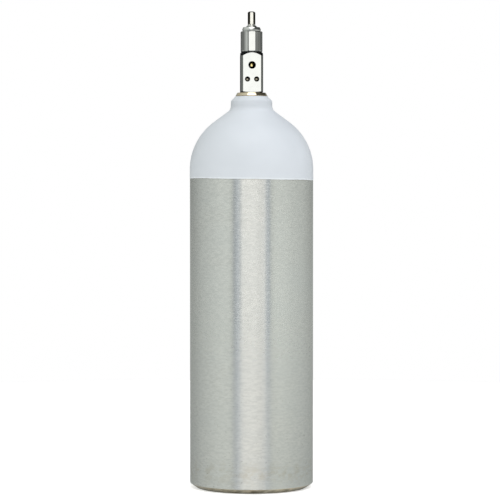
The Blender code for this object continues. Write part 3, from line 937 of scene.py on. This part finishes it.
def make_stem(materials):
    low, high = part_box("stem")
    collar_r = high.x
    outline = [
        (0.0, high.z),
        (STEM_R - STEM_TOP_CHAMFER, high.z),
        (STEM_R, high.z - STEM_TOP_CHAMFER),
        (STEM_R, STEM_FLATS_Z),
        (STEM_R, COLLAR_TOP),
        (collar_r, COLLAR_TOP),
        (collar_r, COLLAR_BOTTOM),
        (TANG_R, COLLAR_BOTTOM),
        (TANG_R, low.z),
        (0.0, low.z),
    ]
    stem = turned("key_stem", outline)
    reach = 2 * TANG_R
    above = high.z + OVERRUN
    below = low.z - OVERRUN
    mill(stem, (-reach, -reach, below), (-TANG_HALF, reach, COLLAR_BOTTOM))
    mill(stem, (TANG_HALF, -reach, below), (reach, reach, COLLAR_BOTTOM))
    mill(stem, (-reach, -reach, STEM_FLATS_Z), (reach, -STEM_FLAT_Y, above))
    mill(stem, (-reach, STEM_FLAT_Y, STEM_FLATS_Z), (reach, reach, above))
    soften(stem)
    for name in ("stem_shade", "stem_brass"):
        stem.data.materials.append(materials[name])
    # Painted shade: the stem's round sides above its flats are near black, the flats and the rest
    # light
    for face in stem.data.polygons:
        side = face.center.z > STEM_FLATS_Z and abs(face.normal.y) < 0.99
        face.material_index = 0 if side and face.normal.z < 0.9 else 1
    return ridden(stem, STEM_BODY, "stem")


def finish_inner_nodes(materials):
    """The pieces that stay as the CAD has them, most of them hidden inside the valve."""
    replaced = {
        "cylinder_shell", "shoulder_coat", "neck_washer", "valve_body",
        "bonnet_gasket", "bonnet_nut", "gland_nut", "stem", "relief_plug",
    }
    slots = {entry["node"]: entry["material_slot"] for entry in frame["record"]["subparts"]}
    for name, obj in frame["nodes"].items():
        if name in replaced:
            continue
        obj.data.materials.clear()
        finish = "yellow_brass" if name in ("seat_plug", "inlet_tube") else slots[name]
        obj.data.materials.append(materials[finish])


# ---------------------------------------------------------------- studio


def wall_stops():
    """Brightness and tint of the walls, by degrees round from the front, positive towards +X."""
    green = (0.96, 1.0, 0.95)
    blue = (0.93, 1.0, 1.06)
    warm = (1.0, 1.0, 0.96)
    return [
        (-180, 0.34, green), (-159, 0.39, green), (-130, 0.45, green), (-110, 0.52, green),
        (-89, 0.57, green), (-70, 0.62, green), (-52, 0.62, green), (-40, 0.62, green),
        (-36, 0.37, blue), (-33, 0.44, blue), (-29, 0.60, blue), (-20, 0.62, warm),
        (20, 0.66, warm), (28, 0.70, blue), (31, 0.54, blue), (35, 0.76, green),
        (42, 0.84, green), (54, 0.83, green), (73, 0.76, green), (93, 0.67, green),
        (118, 0.56, green), (140, 0.47, green), (180, 0.34, green),
    ]


def horizon_stops():
    """The same for the darker room beyond the walls' lower edge, which only the valve mirrors."""
    grey = (0.97, 1.0, 0.96)
    turns = [
        (-180, 0.03), (-150, 0.05), (-135, 0.10), (-114, 0.24), (-97, 0.34), (-83, 0.39),
        (-70, 0.47), (-57, 0.66), (-45, 0.68), (-42, 0.12), (36, 0.08), (42, 0.22), (51, 0.26),
        (63, 0.28), (76, 0.19), (90, 0.25), (106, 0.34), (127, 0.16), (150, 0.06), (180, 0.03),
    ]
    return [(turn, brightness, grey) for turn, brightness in turns]


def layer_stops(upper):
    """The walls' brightness by height; upper is what they have from 22 to 62 degrees up."""
    white = (1.0, 1.0, 1.0)
    return [
        (-1.0, 0.85, (1.0, 0.96, 0.86)), (-0.72, 1.10, (1.0, 0.97, 0.90)), (-0.45, 0.95, white),
        (0.26, 1.0, white), (0.38, upper, white), (0.88, upper, white), (0.97, 0.06, white),
        (1.0, 0.03, white),
    ]


def stops_ramp(tree, value, stops, low, high, gain=1.0):
    """A ramp over value from low to high, from (value, brightness, tint) stops."""
    placed = []
    for at, brightness, tint in stops:
        placed.append(((at - low) / (high - low), tuple(gain * brightness * part for part in tint)))
    return ramp(tree, spread(tree, value, low, high, 0.0, 1.0), placed)


def make_world():
    """A soft studio: grey-green walls, with a dark gap each side of two white panels in front."""
    world = bpy.data.worlds.new("studio")
    bpy.context.scene.world = world
    world.use_nodes = True
    tree = world.node_tree
    place = tree.nodes.new("ShaderNodeTexCoord")
    split = tree.nodes.new("ShaderNodeSeparateXYZ")
    tree.links.new(place.outputs["Generated"], split.inputs[0])
    height = split.outputs["Z"]
    forward = math_node(tree, "MULTIPLY", split.outputs["Y"], -1.0)
    turn = math_node(tree, "ARCTAN2", split.outputs["X"], forward)
    degrees = math_node(tree, "MULTIPLY", turn, 180 / math.pi)
    walls = stops_ramp(tree, degrees, wall_stops(), -180, 180, WALL_GAIN)
    left_layers = stops_ramp(tree, height, layer_stops(LEFT_UPPER), -1, 1)
    right_layers = stops_ramp(tree, height, layer_stops(RIGHT_UPPER), -1, 1)
    rightness = spread(tree, split.outputs["X"], 0.05, 0.20, 0.0, 1.0)
    layers = blend_colours(tree, rightness, left_layers, right_layers)
    light = blend_colours(tree, 1.0, walls, layers, "MULTIPLY")
    horizon = stops_ramp(tree, degrees, horizon_stops(), -180, 180)
    light = blend_colours(tree, smooth_band(tree, height, HORIZON_HEIGHTS), light, horizon)
    panels = (
        (PANEL_TURNS, PANEL_HEIGHTS, PANEL_LIGHT),
        (HIGH_PANEL_TURNS, HIGH_PANEL_HEIGHTS, HIGH_PANEL_LIGHT),
    )
    for turns, heights, strength in panels:
        across = smooth_band(tree, turn, turns)
        panel = math_node(tree, "MULTIPLY", across, smooth_band(tree, height, heights))
        light = blend_colours(tree, panel, light, (strength, strength, strength * 0.97))
    lit = tree.nodes["Background"]
    tree.links.new(light, lit.inputs["Color"])
    lit.inputs["Strength"].default_value = 1.0
    seen = tree.nodes.new("ShaderNodeBackground")
    seen.inputs["Color"].default_value = (1.0, 1.0, 1.0, 1.0)
    path = tree.nodes.new("ShaderNodeLightPath")
    mix = tree.nodes.new("ShaderNodeMixShader")
    tree.links.new(path.outputs["Is Camera Ray"], mix.inputs[0])
    tree.links.new(lit.outputs[0], mix.inputs[1])
    tree.links.new(seen.outputs[0], mix.inputs[2])
    tree.links.new(mix.outputs[0], tree.nodes["World Output"].inputs["Surface"])


def make_fill_light():
    """A large soft light overhead, a little in front; it fills the paint and isn't mirrored."""
    data = bpy.data.lights.new("overhead", "AREA")
    data.shape = "RECTANGLE"
    data.size = FILL_SIZE
    data.size_y = FILL_SIZE
    data.energy = FILL_WATTS
    data.color = (0.94, 0.96, 1.0)
    lamp = link(bpy.data.objects.new("overhead", data))
    lamp.location = FILL_PLACE
    aim = Vector(FILL_TARGET) - lamp.location
    lamp.rotation_euler = aim.to_track_quat("-Z", "Y").to_euler()
    lamp.visible_glossy = False


def make_floor():
    mesh = bpy.data.meshes.new("floor")
    bm = bmesh.new()
    bmesh.ops.create_circle(bm, cap_ends=True, segments=TURNED_SEGMENTS, radius=FLOOR_R)
    bmesh.ops.translate(bm, vec=(0, 0, -FLOOR_DROP), verts=bm.verts)
    bm.to_mesh(mesh)
    bm.free()
    floor = link(bpy.data.objects.new("floor", mesh))
    material, tree = new_material("studio_floor")
    shader = shader_of(tree)
    shader.inputs["Base Color"].default_value = (0.9, 0.9, 0.9, 1.0)
    shader.inputs["Roughness"].default_value = 0.8
    shader.inputs["Emission Color"].default_value = (1.0, 1.0, 1.0, 1.0)
    shader.inputs["Emission Strength"].default_value = FLOOR_GLOW
    mesh.materials.append(material)
    floor.visible_glossy = False


def make_camera():
    """Level with the shoulder, two metres off and a few degrees to the left of the port."""
    target = Vector(CAMERA_TARGET)
    out_x = CAMERA_DISTANCE * math.sin(CAMERA_TURN)
    out_y = -CAMERA_DISTANCE * math.cos(CAMERA_TURN)
    data = bpy.data.cameras.new("camera")
    data.sensor_width = 36.0
    data.lens = CAMERA_LENS
    data.clip_start = 0.05
    camera = link(bpy.data.objects.new("camera", data))
    camera.location = (out_x, out_y, CAMERA_HEIGHT)
    camera.rotation_euler = (target - camera.location).to_track_quat("-Z", "Y").to_euler()
    bpy.context.scene.camera = camera


def main():
    bpy.context.scene.view_settings.view_transform = "Standard"
    materials = make_materials()
    make_shell(materials["brushed_aluminium"])
    make_coat(materials["white_paint"])
    make_washer(materials["bare_brass"])
    make_valve_body(materials)
    make_gasket(materials["black_rubber"])
    make_bonnet(materials["chrome"])
    make_gland(materials["chrome"])
    make_relief(materials["bare_brass"])
    make_stem(materials)
    finish_inner_nodes(materials)
    make_world()
    make_floor()
    make_fill_light()
    make_camera()


main()
